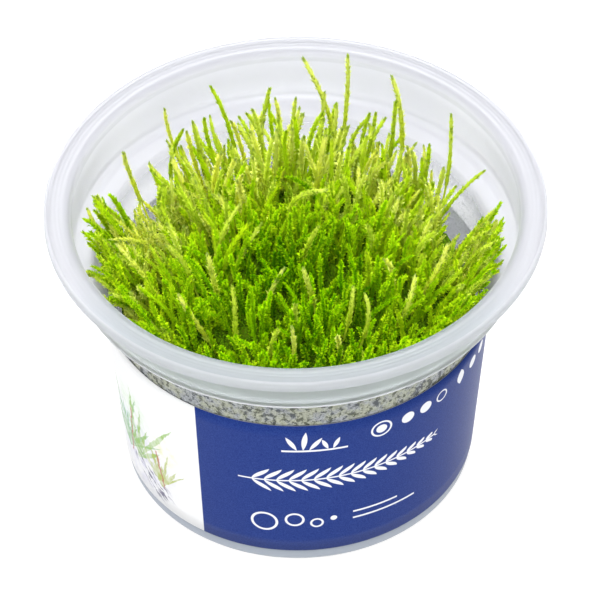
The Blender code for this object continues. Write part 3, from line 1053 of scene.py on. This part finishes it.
# %% Room for the shoots
def pulled_in(points):
    """Points no farther from the axis than the room inside the cup at their height."""
    z = points[:, 2]
    room = np.where(z > LEDGE + 1.5, RIM_INNER_RADIUS - 1.9, wall_outer(z) - WALL - 1.4)
    room = np.where(z > RIM_TOP, RIM_INNER_RADIUS - 1.0, room)
    far = np.hypot(points[:, 0], points[:, 1])
    shrink = np.minimum(1.0, room / np.maximum(far, 0.01))
    return points * np.stack([shrink, shrink, np.ones(len(z))], axis=1)


def keep_inside(shoots):
    """Pulls knees, tips and hooked ends in to the room inside the cup."""
    end = pulled_in(shoots["tip"] + shoots["hook"])
    tip = pulled_in(shoots["tip"])
    return {**shoots, "knee": pulled_in(shoots["knee"]), "tip": tip, "hook": end - tip}


def kept_only(shoots, kept):
    """The shoots for which kept is true."""
    arrays = {key: value[kept] for key, value in shoots.items() if isinstance(value, np.ndarray)}
    return {**shoots, **arrays}


def thin_out(shoots, rng):
    """Drops shoots by chance towards the back, where the real clump is loose."""
    loose = 0.80 * np.clip(shoots["tip"][:, 1] / 14.0, 0.0, 1.0)
    return kept_only(shoots, rng.uniform(0, 1, len(loose)) > loose)


def leave_wall_bare(shoots):
    """Drops shoots that would hide the bare wall at both sides: seen = y + 1.05 * height over the rim."""
    x, y, z = shoots["tip"].T
    seen = y + 1.05 * (z - RIM_TOP)
    right = (x > 30.5) & (seen > 1.2 * (x - 31.0) - 12.0)
    left = (x < -29.0) & (seen > np.where(x < -33.0, 3.0, 10.5))
    return kept_only(shoots, ~(right | left))


def drawn_sizes(count, radius, length, spread, rng):
    """Stem radius, leaf length and slope of the leaves, each drawn between two limits."""
    return {
        "radius": rng.uniform(*radius, count),
        "length": rng.uniform(*length, count),
        "spread": np.radians(rng.uniform(*spread, count)),
    }


reach_test = pulled_in(np.array([[60.0, 0.0, 30.0], [60.0, 0.0, 60.0]]))
print("room at 30 and 60 mm:", reach_test[:, 0].round(1))

# %% [markdown]
# ### Undergrowth and tall shoots
#
# Old shoots end low and fill the gaps, and this year's stand over them. Both are the same fan
# of shoots with another reach, and each batch stays under two hundred thousand triangles.

# %% Undergrowth and tall shoots
def fan_shoots(count, reach, over, rough, first, rng):
    """Feet on a spiral over the oval; tips lean out like a fan; over is their height against the dome."""
    out = np.sqrt((np.arange(count) + 0.5) / count)
    turn = np.arange(count) * GOLDEN_TURN + rng.normal(0, 0.5, count)
    out = np.clip(out + rng.normal(0, 0.03, count), 0.01, 1.0)
    foot_x = 0.90 * HALF_WIDTH * out * np.cos(turn)
    foot_y = 0.96 * HALF_DEPTH * out * np.sin(turn)
    phase = rng.uniform(0, 6, 3)
    pits = [(*pit, PIT_RADIUS, PIT_DEPTH) for pit in PITS]
    lean_x = 0.16 * foot_x + 2.2 * sway(foot_x, foot_y, phase[0]) + rng.normal(0, rough, count)
    lean_y = 0.08 * foot_y + 1.8 * sway(foot_x, foot_y, phase[1]) + rng.normal(0, rough, count)
    foot_y = foot_y - FORWARD
    foot, lean = np.column_stack([foot_x, foot_y]), np.column_stack([lean_x, lean_y])
    tip_x, tip_y = (foot + lean).T
    height = over + 1.2 * sway(3 * foot_x, 3 * foot_y, phase[2]) + rng.normal(0, rough * 0.8, count)
    tip_z = dome(tip_x, tip_y) + height - bells(tip_x, tip_y, pits)
    length = reach * rng.uniform(0.85, 1.15, count)
    bend = rng.normal(0, rough * 0.5, (2, count)).T
    # Tone: yellower and paler towards the sides and the back, partly the moss's own colour, partly painted
    # light.
    warm_and_lit = 0.08 + 0.62 * (tip_x / HALF_WIDTH) ** 2 + 0.85 * np.clip((tip_y + 20.0) / 42.0, 0.0, 1.0)
    # Painted shade: darker towards the sides and in the shade patches.
    shade = 0.02 + 0.08 * (tip_x / HALF_WIDTH) ** 2 + bells(tip_x, tip_y, SHADE_PATCHES)
    return {
        "root": np.column_stack([foot - 0.25 * lean, tip_z - length]),
        "knee": np.column_stack([foot + 0.3 * lean + bend, tip_z - 0.4 * length]),
        "tip": np.column_stack([tip_x, tip_y, tip_z]),
        "hook": rng.normal(0, 0.5, (count, 3)) * rough * np.array([1.0, 1.0, 0.3]),
        **drawn_sizes(count, (0.22, 0.32), (0.72, 1.0), (28, 50), rng),
        "first": first,
        "width": 0.5,
        "fleck": 0.7,
        "shade": shade - 0.14 * sway(2 * foot_x, 2 * foot_y, phase[1]),
        "tone": np.clip(warm_and_lit + 0.22 * sway(foot_x, foot_y, phase[2]) + rng.normal(0, 0.10, count), 0, 1),
    }


rng = np.random.default_rng(5)
for batch in (1, 2):
    shoots = keep_inside(fan_shoots(230, 13.0, -4.0, 1.4, 0.45, rng))
    plant(f"moss_undergrowth_{batch}", leave_wall_bare(thin_out(shoots, rng)), 96, 5, rng)
for batch in (1, 2, 3, 4):
    shoots = keep_inside(fan_shoots(190, 20.0, 0.5, 2.4, 0.42, rng))
    plant(f"moss_shoots_{batch}", leave_wall_bare(thin_out(shoots, rng)), 152, 7, rng)

# %% [markdown]
# ### Shoots along the wall
#
# Moss that meets the plastic grows up along it and stands denser there. These shoots start on a
# ring close to the wall and lean against it, so no dark gap is seen between clump and cup.

# %% Shoots along the wall
def edge_shoots(count, rng):
    """Feet on a ring near the wall, from side to side past the front; tips lean to the wall."""
    turn = np.radians(rng.uniform(-212, 32, count))
    round_wall = np.stack([np.cos(turn), np.sin(turn)], axis=1)
    foot = round_wall * rng.uniform(32.0, 35.5, count)[:, None]
    foot = foot + rng.normal(0, 0.8, (count, 2))
    side = np.cos(turn) ** 2
    corner = np.abs(np.sin(2.0 * turn))
    tip_far = 37.0 + 3.4 * side * rng.uniform(0.4, 1.0, count) + 2.4 * corner
    tip = round_wall * tip_far[:, None] + rng.normal(0, 1.2, (count, 2))
    tip_z = RIM_TOP - rng.uniform(5.0, 12.0, count) + side * rng.uniform(2.0, 7.0, count)
    length = rng.uniform(12, 17, count)
    return {
        "root": np.column_stack([foot, tip_z - length]),
        "knee": np.column_stack([0.6 * foot + 0.4 * tip, tip_z - 0.45 * length]),
        "tip": np.column_stack([tip, tip_z]),
        "hook": rng.normal(0, 0.9, (count, 3)),
        **drawn_sizes(count, (0.20, 0.28), (0.8, 1.1), (25, 45), rng),
        "first": 0.35,
        "width": 0.5,
        "fleck": 0.9,
        # Painted shade: darker at the front of the ring than at the sides.
        "shade": 0.12 - 0.07 * side,
        "tone": np.clip(0.2 + 0.42 * side + rng.normal(0, 0.17, count), 0, 1),
    }


plant("moss_edge_shoots", leave_wall_bare(keep_inside(edge_shoots(250, rng))), 110, 7, rng)

# %% [markdown]
# ### Long shoots and straps
#
# A few dozen shoots stand clear of the clump and give it its outline. Others lie over it as
# pale straps that show their whole upper side. Their places are listed one by one, as foot and
# tip, because these are the shoots that are seen first.

# %% Places of the long shoots and straps
# foot x and y, tip x and y, and how high the tip is over the rim, in millimetres
LONG_SHOOTS = [
    (-12, 24, -15, 26, 7), (-8, 23, -5, 25, 8), (-23, 22, -28, 24, 3), (-32, 13, -35, 15, 1),
    (-37, 5, -40, 5, -1), (-16, 20, -19, 19, 5), (-27, 19, -23, 18, 3), (-19, 21, -20, 20, 2),
    (-3, 21, -2, 22, 7), (-1, 21, 0, 24, 6), (10, 23, 3, 28, 12), (5, 22, 6, 25, 6),
    (7, 19, 9, 22, 5), (10, 24, 12, 29, 13), (10, 20, 12, 21, 4), (13, 18, 14, 21, 6),
    (14, 18, 17, 19, 6), (20, 20, 20, 22, 8), (23, 21, 21, 25, 10), (25, 13, 24, 13, 1),
    (26, 13, 27, 13, 1), (32, 13, 31, 19, 6), (28, 5, 37, 9, 1), (36, -2, 39, 0, -5),
    (37, -3, 41, -1, -5), (35, -6, 40, -6, -8), (34, -8, 39, -9, -11), (-37, 3, -39, 2, -3),
    (-38, 1, -41, 1, -4), (-37, -2, -40, -3, -6), (-37, -8, -41, -8, -9), (-34, 4, -35, 5, -1),
    (-17, -28, -24, -26, 0), (-13, -30, -11, -24, 0), (-8, -23, -4, -20, 0), (-1, -28, 0, -26, -2),
    (-16, -14, -6, -8, 2),
]
# foot x, y and height over the rim, then the same for the tip
STRAPS = [
    (-2, -3, 1, 2, -2, 3.5), (9, -34, -10, 7, -33, -6), (4, -24, -6, 1, -22, -1),
    (10, -30, -6, 11, -29, -2), (13, -31, -9, 16, -28, -3), (-1, -35, -12, 0, -34, -6.5),
    (-6, -34, -12, -5, -34, -6), (-16, -15, -5, -10, -12, 2), (-17, -12, -4, -13, -9, 2.5),
    (1, -13, -2, 4, -15, 1.5), (-16, -21, -6, -17, -19, 0.5), (20, -27, -9, 24, -24, -3.5),
    (25, -19, -9, 31, -14, -2), (-21, -17, -7, -23, -13, 0.5), (-27, -18, -11, -33, -12, -3),
    (14, -20, -7, 15, -17, 0.5), (19, -21, -8, 20, -17, 0.5),
]
print(len(LONG_SHOOTS), "long shoots and", len(STRAPS), "straps")

# %% Long shoots and straps
def placed_shoots(table, below, spread, rng):
    """Foot and tip from a table; the root is below the foot and nearer the clump's middle."""
    table = np.array(table, dtype=float)
    foot, tip = table[:, :3], table[:, 3:]
    middle = np.array([0.0, -FORWARD])
    root_xy = middle + (foot[:, :2] - middle) * 0.9
    root = np.column_stack([root_xy, foot[:, 2] - below])
    count = len(table)
    rim = np.array([0.0, 0.0, RIM_TOP])
    return {
        "root": root + rim,
        "knee": foot + 0.15 * (tip - foot) + rim,
        "tip": tip + rim,
        "hook": rng.normal(0, 0.9, (count, 3)) * np.array([1.0, 1.0, 0.4]),
        "radius": np.full(count, 0.26),
        "first": 0.3,
        "length": rng.uniform(1.0, 1.3, count),
        "width": 0.5,
        "spread": np.radians(rng.uniform(*spread, count)),
        "fleck": 0.9,
        "shade": 0.0,
        "tone": np.clip(rng.normal(0.84, 0.12, count), 0, 1),
    }


long_table = [(x, y, 0.5 * over - 9.0, *tip, over) for x, y, *tip, over in LONG_SHOOTS]
plant("moss_long_shoots", placed_shoots(long_table, 9.0, (20, 30), rng), 300, 16, rng)
straps = placed_shoots(STRAPS, 5.0, (20, 32), rng)
straps["tip"][:, 2] += 3.0
straps["knee"][:, 2] += 3.0
straps["hook"] *= 2.0
straps["tone"] = np.clip(straps["tone"] - 0.04, 0, 1)
plant("moss_straps", straps, 220, 14, rng)

# %% [markdown]
# ### Back shoots
#
# At the back the clump is loose, and thin shoots stand singly in front of the misted wall. They
# are the lightest, with painted light in their colour for the light they get from all sides.

# %% Back shoots
def back_shoots(count, rng):
    """A loose screen of thin shoots along the back and the sides of the oval."""
    turn = np.radians(rng.uniform(-12, 192, count))
    out = rng.uniform(0.4, 0.92, count)
    foot_x = 0.92 * HALF_WIDTH * out * np.cos(turn)
    foot_y = 0.98 * HALF_DEPTH * out * np.sin(turn) - FORWARD
    lean_x = 0.17 * foot_x + rng.normal(0, 2.8, count)
    lean_y = 0.18 * np.maximum(foot_y, 0) + rng.normal(0, 1.8, count)
    foot, lean = np.column_stack([foot_x, foot_y]), np.column_stack([lean_x, lean_y])
    tip_x, tip_y = (foot + lean).T
    tall = rng.uniform(2.5, 12.0, count) * (1.0 - 0.5 * np.abs(np.cos(turn)))
    tip_z = dome(tip_x, tip_y) + tall
    length = rng.uniform(22, 28, count)
    bend = rng.normal(0, 1.6, (2, count)).T
    return {
        "root": np.column_stack([foot - 0.2 * lean, tip_z - length]),
        "knee": np.column_stack([foot + 0.25 * lean + bend, tip_z - 0.4 * length]),
        "tip": np.column_stack([tip_x, tip_y, tip_z]),
        "hook": rng.normal(0, 1.3, (count, 3)) * np.array([1.0, 1.0, 0.4]),
        **drawn_sizes(count, (0.20, 0.28), (0.95, 1.25), (22, 38), rng),
        "first": 0.34,
        "width": 0.55,
        "fleck": 0.9,
        # Painted light: a negative shade and a high tone make these shoots lighter.
        "shade": -0.12,
        "tone": np.clip(rng.normal(0.82, 0.14, count), 0, 1),
    }


plant("moss_back_shoots", leave_wall_bare(keep_inside(back_shoots(185, rng))), 210, 10, rng)

# %% [markdown]
# ## The mat
#
# Under the tips the shoots are packed so close that single ones no longer show. A lumpy closed
# dome stands for that inside, dark olive with painted shade, so that no light comes through from below.

# %% Mat
def mat_mesh():
    """Oval rings from the gel up and over the dome: radius by a profile, height lowered by ripples."""
    levels = np.array([[0.80, 0], [0.84, 0.04], [0.9, 0.3], [0.96, 0.7], [0.97, 0.9]])
    angle = np.linspace(0.0, math.tau, 120, endpoint=False)
    base = moss_low[2]
    shoulder = 47.0
    reach = np.concatenate([levels[:, 0], np.linspace(0.93, 0.03, 34)])[:, None]
    low = np.concatenate([levels[:, 1], np.ones(34)])[:, None]
    swell = 1.0 + 0.02 * np.sin(5 * angle + 3 * low) + 0.015 * np.sin(11 * angle - 2 * low)
    x = HALF_WIDTH * reach * swell * np.cos(angle)
    y = HALF_DEPTH * reach * swell * np.sin(angle) - FORWARD * np.minimum(low, 1.0)
    top = dome(x, y) - 11.0 + 0.8 * np.sin(1.1 * x) * np.sin(1.2 * y)
    top = top + 0.6 * np.sin(2.3 * x + 1.7 * y)
    z = np.where(low < 1.0, base + low * (shoulder - base), top)
    body = np.stack([x, y, z + 0.0 * angle], axis=-1)
    return closed_grid("moss_mat", body, [0.0, 0.0, base], [0.0, -FORWARD, float(z[-1].mean())])


def mat_material():
    """Dark olive with green flecks and a rough relief: old stems and litter, painted darker as the shade
    deep in the clump.
    """
    material, start = new_material("moss mat")
    where = place_mm(start)[3]
    coarse = noise(where, 0.5, detail=4.0)
    fine = noise(where, 2.4, detail=3.0)
    olive = coarse.step(0.35, 0.7).mix((0.03, 0.07, 0.003), (0.10, 0.17, 0.006))
    colour = fine.step(0.4, 0.7).mix(olive, (0.15, 0.34, 0.005))
    rough = {"Roughness": 0.8, "Specular IOR Level": 0.02, "Normal": bump(fine, 0.6)}
    return finish(material, start, principled(start, {"Base Color": colour, **rough}))


add_piece("moss_mat", mat_mesh(), mat_material(), "moss_clump")

# %% [markdown]
# ## Studio
#
# The cup stands on a white table under even light. The table glows a little by itself, so the
# shadows on it stay soft and pale.

# %% Floor
def floor_material():
    """A matt grey that gives most of its white as its own light."""
    material, start = new_material("white floor")
    tint = noise(place_mm(start)[3], 0.004).mix((0.29, 0.29, 0.29), (0.31, 0.31, 0.31))
    glow = {"Emission Color": (1.0, 1.0, 1.0, 1.0), "Emission Strength": 0.76}
    return finish(material, start, principled(start, {"Base Color": tint, "Roughness": 0.6, **glow}))


FLOOR_REACH = 2500.0
corners = np.array([[-1, -1, 0], [1, -1, 0], [1, 1, 0], [-1, 1, 0]]) * FLOOR_REACH
floor_mesh = make_mesh("floor", corners, [np.array([[0, 1, 2, 3]])])
floor_mesh.materials.append(floor_material())
floor = in_scene("floor", floor_mesh)
print("the table reaches", FLOOR_REACH, "mm each way")

# %% [markdown]
# ### Lights
#
# Two large soft lamps, one over the camera and a stronger one behind the cup, make the leaves
# shine through. A white surround fills the shadows.

# %% Lights
def area_light(name, from_mm, aim_mm, size_mm, watts):
    """A square lamp at a place, turned to face a point."""
    light = bpy.data.lights.new(name, "AREA")
    light.shape = "SQUARE"
    light.size = size_mm * MM
    light.energy = watts
    made = in_scene(name, light)
    place = np.array(from_mm) * MM
    aim = np.array(aim_mm) * MM
    away = (place - aim) / np.linalg.norm(place - aim)
    side = np.cross([0.0, 1.0, 0.1], away)
    side /= np.linalg.norm(side)
    up = np.cross(away, side)
    turn = Matrix(np.column_stack([side, up, away]).tolist()).to_4x4()
    made.matrix_world = Matrix.Translation(place.tolist()) @ turn
    print(name, "is", round(float(np.linalg.norm(place - aim)), 2), "m away")


area_light("front_softbox", (-100, -650, 1000), (0, 0, 40), 450, 9.5)
area_light("overhead_softbox", (0, 560, 920), (0, 0, 40), 500, 15.0)

world = bpy.data.worlds.new("white surround")
world.use_nodes = True
surround = world.node_tree.nodes["Background"]
surround.inputs["Color"].default_value = (1.0, 1.0, 1.0, 1.0)
surround.inputs["Strength"].default_value = 0.7
bpy.context.scene.world = world

# %% [markdown]
# ### Camera
#
# The view is a steep look down into the cup from one metre, through a long lens that hardly
# narrows what is farther away. Place, pitch and roll were fitted to the outlines of the rim.

# %% Camera
CAMERA_PLACE_MM = (0.59, -715.82, 750.81)
CAMERA_PITCH_DEG = 45.163
CAMERA_ROLL_DEG = -0.90
LENS_MM = 300.0

camera_data = bpy.data.cameras.new("camera")
camera_data.lens = LENS_MM
camera_data.sensor_width = 36.0
camera = in_scene("camera", camera_data)
tilt = Matrix.Rotation(math.radians(CAMERA_PITCH_DEG), 4, "X")
roll = Matrix.Rotation(math.radians(CAMERA_ROLL_DEG), 4, "Z")
camera.matrix_world = Matrix.Translation([v * MM for v in CAMERA_PLACE_MM]) @ tilt @ roll
bpy.context.scene.camera = camera
bpy.context.scene.view_settings.view_transform = "Standard"
print("camera at", CAMERA_PLACE_MM, "mm with a lens of", LENS_MM, "mm")
